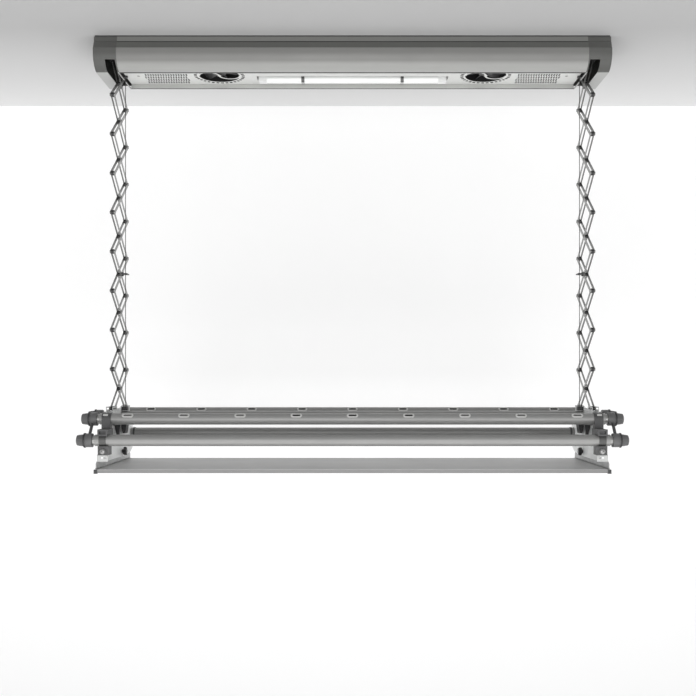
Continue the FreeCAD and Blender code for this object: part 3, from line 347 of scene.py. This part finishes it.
FINISHES = {
    # The ceiling base plate gets the black plastic finish as painted shade: it stands in for the shadow
    # gap along the ceiling.
    "ceiling_base_plate": BLACK, "housing_shell": HOUSING, "end_cap_left": CAP,
    "end_cap_right": CAP, "bottom_panel": PANEL, "fan_frames": BLACK, "fan_rotor_left": CLAMP,
    "fan_rotor_right": CLAMP, "lamp_tube": LAMP, "lamp_sockets": WHITE, "lamp_clips": DARK_STEEL,
    "gearmotor": DARK_STEEL, "shaft_bearings": GREY, "drive_electronics": CIRCUIT,
    "rope_eyes": BLACK, "scissor_hangers": DARK_STEEL, "drive_shaft": ZINC, "rope_drums": GREY,
    "rope_guide_clips": BLACK, "scissor_feet": FOOT, "foot_mouldings": BLACK,
    "rope_anchors": BLACK, "side_plates": PLATE, "upper_front_pole": POLE,
    "upper_middle_pole": POLE, "upper_rear_pole": POLE, "lower_front_pole": POLE,
    "lower_rear_pole": POLE, "hanger_eyelets": EYELET, "pole_clamps": CLAMP, "clamp_straps": STRAP,
    "drying_tray": TRAY, "tray_end_plates": GALVANISED, "tray_feet": BLACK,
    "extension_tubes_right": INNER_TUBE, "extension_tubes_left": INNER_TUBE,
}


def finish_nodes():
    """Gives every CAD node its finish."""
    for name, item in NODES.items():
        material = FINISHES.get(name, LINK if name.startswith("scissor_") else GREY)
        item.data.materials.clear()
        item.data.materials.append(material)


finish_nodes()


# ---------------------------------------------------------------- piece code


def piece(name, bm, material, body):
    """Makes a piece from a mesh in the row frame and puts it on a body."""
    mesh = bpy.data.meshes.new(name)
    bm.normal_update()
    bm.to_mesh(mesh)
    bm.free()
    mesh.materials.append(material)
    item = bpy.data.objects.new(name, mesh)
    bpy.context.scene.collection.objects.link(item)
    for polygon in mesh.polygons:
        polygon.use_smooth = True
    modifier = item.modifiers.new("edges", "EDGE_SPLIT")
    modifier.split_angle = math.radians(35)
    if body:
        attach(item, body)
    return item


def lathe(bm, profile, origin, direction, steps=64, wave=None):
    """Turns (along, radius) points about a line; wave(angle, along) scales the radius."""
    axis = Vector(direction).normalized()
    side = axis.orthogonal().normalized()
    up = axis.cross(side)
    rings = []
    for along, radius in profile:
        ring = []
        for step in range(steps):
            angle = 2 * math.pi * step / steps
            reach = radius * (wave(angle, along) if wave else 1.0)
            spoke = side * math.cos(angle) + up * math.sin(angle)
            ring.append(bm.verts.new(Vector(origin) + axis * along + spoke * reach))
        rings.append(ring)
    for first, second in zip(rings, rings[1:]):
        for step in range(steps):
            after = (step + 1) % steps
            bm.faces.new((first[step], first[after], second[after], second[step]))
    bm.faces.new(list(reversed(rings[0])))
    bm.faces.new(rings[-1])
    return rings


def rounded(start, end, radius, edge):
    """The profile of a plain round piece with softened rims."""
    return [
        (start, radius - edge), (start + edge * 0.3, radius - edge * 0.3), (start + edge, radius),
        (end - edge, radius), (end - edge * 0.3, radius - edge * 0.3), (end, radius - edge),
    ]


def soft_box(bm, low, high, edge):
    """A block with rounded edges."""
    made = bmesh.ops.create_cube(bm, size=1.0)
    low, high = Vector(low), Vector(high)
    size = high - low
    middle = (high + low) / 2
    matrix = Matrix.Translation(middle) @ Matrix.Diagonal((*size, 1.0))
    bmesh.ops.transform(bm, matrix=matrix, verts=made["verts"])
    edges = list({line for corner in made["verts"] for line in corner.link_edges})
    bmesh.ops.bevel(bm, geom=edges, offset=edge, segments=3, profile=0.5, affect="EDGES")


# ---------------------------------------------------------------- ropes

ROPE_X = 0.592
ROPE_TOP = -0.030
ROPE_LOW = -0.935
ROPE_RADIUS = 0.001


def wire_rope(side):
    """A rope of seven twisted strands, drawn at its lowered length."""
    bm = bmesh.new()
    strand = ROPE_RADIUS / 3
    length = ROPE_TOP - ROPE_LOW
    levels = 420
    for number in range(7):
        offset = 0.0 if number == 6 else 2 * strand
        rings = []
        for level in range(levels + 1):
            along = level / levels
            turn = number * math.pi / 3 + along * length / 0.014 * 2 * math.pi
            centre = Vector((
                side * ROPE_X + offset * math.cos(turn), offset * math.sin(turn), ROPE_TOP - along * length
            ))
            rings.append([
                bm.verts.new(centre + Vector((strand * math.cos(angle), strand * math.sin(angle), 0)))
                for angle in (math.pi / 3 * corner for corner in range(6))
            ])
        for first, second in zip(rings, rings[1:]):
            for corner in range(6):
                after = (corner + 1) % 6
                bm.faces.new((first[corner], second[corner], second[after], first[after]))
        bm.faces.new(rings[0])
        bm.faces.new(list(reversed(rings[-1])))
    name = "wire_rope_right" if side > 0 else "wire_rope_left"
    item = piece(name, bm, WIRE, "housing")
    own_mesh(item)
    return item


for side in (1, -1):
    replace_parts(wire_rope(side), "lift_ropes")

# ---------------------------------------------------------------- pole ends

TUBE = 0.014
END = 0.628
POLES = {
    "upper_front": (-0.1425, -0.962, 0.0),
    "lower_front": (-0.189, -1.012, 0.0),
    "upper_middle": (0.0, -0.960, 0.022),
}


def end_fitting(side, name, y, z, extra):
    """The collar, black ring and ribbed knob that closes one pole."""
    start = END + extra
    body = "extension_right" if side > 0 else "extension_left"
    word = "right" if side > 0 else "left"
    origin, direction = (0.0, y, z), (side, 0, 0)
    bm = bmesh.new()
    lathe(bm, rounded(start, start + 0.0175, TUBE + 0.0028, 0.0009), origin, direction)
    items = [piece("%s_collar_%s" % (name, word), bm, FITTING, body)]
    bm = bmesh.new()
    lathe(bm, rounded(start + 0.0175, start + 0.0212, TUBE + 0.0040, 0.0007), origin, direction)
    items.append(piece("%s_ring_%s" % (name, word), bm, BLACK, body))

    def ribs(angle, along):
        depth = 0.055 if start + 0.0225 < along < start + 0.0375 else 0.0
        return 1.0 - depth * (0.5 + 0.5 * math.cos(20 * angle)) ** 3

    tip = start + 0.039
    profile = [
        (start + 0.0212, TUBE + 0.0002), (start + 0.0222, TUBE + 0.0006),
        (start + 0.0228, TUBE + 0.0006), (start + 0.030, TUBE - 0.0002),
        (start + 0.036, TUBE - 0.0012), (start + 0.0375, TUBE - 0.0016),
        (tip - 0.0008, TUBE - 0.0030), (tip - 0.0001, TUBE - 0.0046),
        (tip - 0.0001, TUBE - 0.0062), (tip - 0.0012, TUBE - 0.0070), (tip - 0.0012, 0.0006),
    ]
    bm = bmesh.new()
    lathe(bm, profile, origin, direction, 160, ribs)
    items.append(piece("%s_knob_%s" % (name, word), bm, FITTING, body))
    return items


def end_bar(side):
    """The bar between the two front collars."""
    y1, z1, _ = POLES["upper_front"]
    y2, z2, _ = POLES["lower_front"]
    low, high = Vector((0, y2, z2)), Vector((0, y1, z1))
    length = (high - low).length
    bm = bmesh.new()
    soft_box(bm, (-0.003, -0.004, 0), (0.003, 0.004, length), 0.0012)
    turn = (high - low).to_track_quat("Z", "X").to_matrix().to_4x4()
    shift = Matrix.Translation(low + Vector((side * (END + 0.011), 0, 0)))
    spin = Matrix.Rotation(math.radians(90), 4, "Z")
    bmesh.ops.transform(bm, matrix=shift @ turn @ spin, verts=bm.verts)
    word = "right" if side > 0 else "left"
    body = "extension_" + word
    return piece("end_bar_" + word, bm, CLAMP, body)


for side in (1, -1):
    made = [end_bar(side)]
    for name, (y, z, extra) in POLES.items():
        made += end_fitting(side, name, y, z, extra)
    for item in made:
        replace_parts(item, "end_fittings_right" if side > 0 else "end_fittings_left")

# ---------------------------------------------------------------- knobs and screws

PLATE_X = 0.619
KNOB_Z = -1.057
KNOB_ROW = 0.081
KNOB_DEPTH = 0.012


def star_knob(side):
    """A five-lobed hand knob on a side plate's inner face."""

    def lobes(angle, along):
        return 1.0 + 0.19 * math.cos(5 * angle)

    origin = (side * (PLATE_X - KNOB_DEPTH), KNOB_ROW, KNOB_Z)
    profile = [
        (-0.0002, 0.0034), (-0.0002, 0.0068), (0.0006, 0.0086), (0.0020, 0.0096),
        (0.0074, 0.0096), (0.0086, 0.0088), (0.0090, 0.0072), (0.0092, 0.0048), (0.0118, 0.0046),
    ]
    bm = bmesh.new()
    lathe(bm, profile, origin, (side, 0, 0), 100, lobes)
    return piece("star_knob_%d" % side, bm, BLACK, "rack")


def knob_nut(side):
    """The screw's end and its hexagonal nut outside the plates."""
    bm = bmesh.new()
    start = PLATE_X + 0.0036
    origin = (0.0, KNOB_ROW, KNOB_Z)
    direction = (side, 0, 0)
    lathe(bm, [(start, 0.0046), (start + 0.0004, 0.0050), (start + 0.0034, 0.0050),
               (start + 0.0038, 0.0046)], origin, direction, 6)
    lathe(bm, rounded(PLATE_X - 0.002, PLATE_X + 0.0085, 0.003, 0.0005), origin, direction, 32)
    return piece("knob_nut_%d" % side, bm, ZINC, "rack")


def tooth_shade_strip(side):
    """A black strip behind the teeth of a tray end plate: painted shade that darkens the gaps between the
    teeth.
    """
    bm = bmesh.new()
    near, far = sorted((side * 0.6226, side * 0.6238))
    soft_box(bm, (near, -0.185, -1.0829), (far, 0.185, -1.0785), 0.0003)
    return piece("gasket_%d" % side, bm, BLACK, "rack")


def clamp_cap(side):
    """The small pale plug on the front of the upper clamp."""
    bm = bmesh.new()
    soft_box(bm, (-0.006, -0.0028, -0.0008), (0.006, 0.0028, 0.0008), 0.0006)
    y, z, _ = POLES["upper_front"]
    lean = Matrix.Rotation(math.radians(50), 4, "X")
    matrix = Matrix.Translation((side * 0.606, y, z)) @ lean @ Matrix.Translation((0, 0, TUBE + 0.002))
    bmesh.ops.transform(bm, matrix=matrix, verts=bm.verts)
    return piece("clamp_cap_%d" % side, bm, EYELET, "rack")


def cross_screw(name, origin, direction, radius, height, body):
    """A domed screw head with a cross recess."""
    bm = bmesh.new()
    profile = [(0.0, radius)]
    for step in range(1, 6):
        angle = math.pi / 2 * step / 6
        profile.append((height * math.sin(angle), radius * math.cos(angle * 0.86)))
    steps = 48
    rings = lathe(bm, profile, origin, direction, steps)
    axis = Vector(direction).normalized()
    crown = rings[-1]
    middle = Vector(origin) + axis * height
    lid = [face for face in bm.faces if len(face.verts) == steps and crown[0] in face.verts]
    bmesh.ops.delete(bm, geom=lid, context="FACES_ONLY")
    side = axis.orthogonal().normalized()
    up = axis.cross(side)
    edge = []
    reach, arm = radius * 0.52, radius * 0.11
    for quarter in range(4):
        turn = math.pi / 2 * quarter
        out = side * math.cos(turn) + up * math.sin(turn)
        over = axis.cross(out)
        edge += [out * arm - over * arm, out * reach - over * arm, out * reach + over * arm]
    corners = [bm.verts.new(middle + point) for point in edge]
    floor = [bm.verts.new(middle + point * 0.7 - axis * height * 0.8) for point in edge]
    count = len(edge)
    for corner in range(count):
        after = (corner + 1) % count
        bm.faces.new((corners[corner], corners[after], floor[after], floor[corner]))
    bm.faces.new(floor)
    rim_edges = [line for line in bm.edges if line.is_boundary]
    bmesh.ops.triangle_fill(bm, edges=rim_edges, use_beauty=True, normal=axis)
    bmesh.ops.recalc_face_normals(bm, faces=bm.faces)
    return piece(name, bm, ZINC, body)


for side in (1, -1):
    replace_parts(star_knob(side), "tray_knobs")
    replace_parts(knob_nut(side), "tray_knobs")
    # painted shade: a black strip behind the teeth so their gaps read dark
    tooth_shade_strip(side)
    clamp_cap(side)
    screw = cross_screw(
        "clamp_screw_%d" % side, (side * 0.601, -0.203, -1.038), (0, -1, 0), 0.0072, 0.0068, "rack"
    )
    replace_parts(screw, "clamp_screws")
    screw = cross_screw(
        "panel_screw_%d" % side, (side * 0.558, 0, -0.073), (0, 0, -1), 0.004, 0.0016, "housing"
    )
    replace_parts(screw, "housing_screws")
    for column in (-0.48, -0.16, 0.16, 0.48):
        flange = cross_screw(
            "flange_screw_%d_%d" % (side, round(column * 100)), (column, side * 0.083, -0.004),
            (0, 0, -1), 0.0026, 0.0018, "housing",
        )
        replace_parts(flange, "housing_screws")

# ---------------------------------------------------------------- softened edges


def soften(name, width, angle=40.0):
    """Rounds the sharp edges of a CAD node in the render."""
    modifier = NODES[name].modifiers.new("soft_edges", "BEVEL")
    modifier.width = width
    modifier.segments = 2
    modifier.limit_method = "ANGLE"
    modifier.angle_limit = math.radians(angle)
    modifier.use_clamp_overlap = True
    modifier.harden_normals = False


SOFT_EDGES = {
    "end_cap_left": 0.0008, "end_cap_right": 0.0008, "pole_clamps": 0.0008,
    "foot_mouldings": 0.0009, "rope_anchors": 0.0006, "side_plates": 0.0004,
    "drying_tray": 0.0004, "tray_feet": 0.0008, "lamp_sockets": 0.0012, "rope_guide_clips": 0.0004,
    "gearmotor": 0.0010,
}
for name, width in SOFT_EDGES.items():
    soften(name, width)

# ---------------------------------------------------------------- room and lights


def sheet_material(name, grey, glow=0.0, lit_colour_near_wall=None, shaded_colour_near_floor=None):
    """Matt wall paint with a faint roller texture, seen from its front only, with optional painted light
    towards the wall and painted shade towards the floor.
    """
    graph = Graph(name)
    shade = worn(graph, grey, 0.012, 1.3, 0.85, 0.05)
    if lit_colour_near_wall:
        depth = graph.add("ShaderNodeSeparateXYZ", {"Vector": graph.place()}).outputs["Y"]
        # painted light: the colour turns paler towards the wall
        graph.link(graph.blend(graph.fade(depth, -0.15, 0.55), shade, lit_colour_near_wall), "Base Color")
    if shaded_colour_near_floor:
        height = graph.add("ShaderNodeSeparateXYZ", {"Vector": graph.place()}).outputs["Z"]
        # painted shade: the colour turns darker towards the floor
        graph.link(graph.blend(graph.fade(height, -1.2, -2.3), shade, shaded_colour_near_floor), "Base Color")
    graph.set(Specular_IOR_Level=0.1)
    if glow:
        graph.set(Emission_Color=(1, 1, 1, 1), Emission_Strength=glow)
    graph.bump(graph.noise(260.0, 2.0), 0.03, 0.001)
    output = graph.tree.nodes["Material Output"]
    clear = graph.add("ShaderNodeBsdfTransparent")
    back = graph.add("ShaderNodeNewGeometry").outputs["Backfacing"]
    mix = graph.add("ShaderNodeMixShader", {0: back, 1: graph.shader.outputs[0], 2: clear.outputs[0]})
    graph.tree.links.new(mix.outputs[0], output.inputs["Surface"])
    return graph.material


def room_side(name, corners, material):
    """One flat side of the room."""
    mesh = bpy.data.meshes.new(name)
    mesh.from_pydata(corners, [], [(0, 1, 2, 3)])
    mesh.materials.append(material)
    item = bpy.data.objects.new(name, mesh)
    bpy.context.scene.collection.objects.link(item)
    return item


WALL_Y = 0.549
FLOOR_Z = -2.45
FRONT_Y = -4.0
WIDE = 4.5

room_side(
    "wall",
    [(-WIDE, WALL_Y, FLOOR_Z), (WIDE, WALL_Y, FLOOR_Z), (WIDE, WALL_Y, 0), (-WIDE, WALL_Y, 0)],
    sheet_material("wall_paint", 0.60, 0.43, shaded_colour_near_floor=0.42),
)
room_side(
    "ceiling",
    [(-WIDE, WALL_Y, 0.0), (WIDE, WALL_Y, 0.0), (WIDE, FRONT_Y, 0.0), (-WIDE, FRONT_Y, 0.0)],
    sheet_material("ceiling_paint", 0.47, lit_colour_near_wall=0.80),
)
room_side(
    "floor",
    [(-WIDE, FRONT_Y, FLOOR_Z), (WIDE, FRONT_Y, FLOOR_Z), (WIDE, WALL_Y, FLOOR_Z),
     (-WIDE, WALL_Y, FLOOR_Z)],
    sheet_material("floor_paint", 0.75),
)


def area_light(name, place, target, size, power):
    """A soft rectangular light that faces a point."""
    data = bpy.data.lights.new(name, "AREA")
    data.shape = "RECTANGLE"
    data.size, data.size_y = size
    data.energy = power
    item = bpy.data.objects.new(name, data)
    item.location = place
    item.rotation_euler = (Vector(target) - Vector(place)).to_track_quat("-Z", "Y").to_euler()
    bpy.context.scene.collection.objects.link(item)
    return item


area_light("front_light", (0, -3.7, -1.2), (0, 0, -0.6), (4.4, 1.8), 52)
area_light("floor_light", (0, -1.0, -2.35), (0, -0.3, 0), (4.0, 2.4), 50)

world = bpy.data.worlds.new("room_light")
world.use_nodes = True
world.node_tree.nodes["Background"].inputs["Color"].default_value = (1, 1, 1, 1)
world.node_tree.nodes["Background"].inputs["Strength"].default_value = 0.75
bpy.context.scene.world = world


def camera():
    """Stands in front of the rack, level, with its frame shifted up as a view camera's is."""
    data = bpy.data.cameras.new("camera")
    data.lens = 51.7
    data.sensor_width = 36.0
    data.shift_x = -0.0065
    data.shift_y = 0.0489
    data.clip_end = 50.0
    item = bpy.data.objects.new("camera", data)
    item.location = (0.0, -2.607, -0.871)
    item.rotation_euler = (math.radians(90), 0, 0)
    bpy.context.scene.collection.objects.link(item)
    bpy.context.scene.camera = item


camera()
bpy.context.scene.view_settings.view_transform = "Standard"
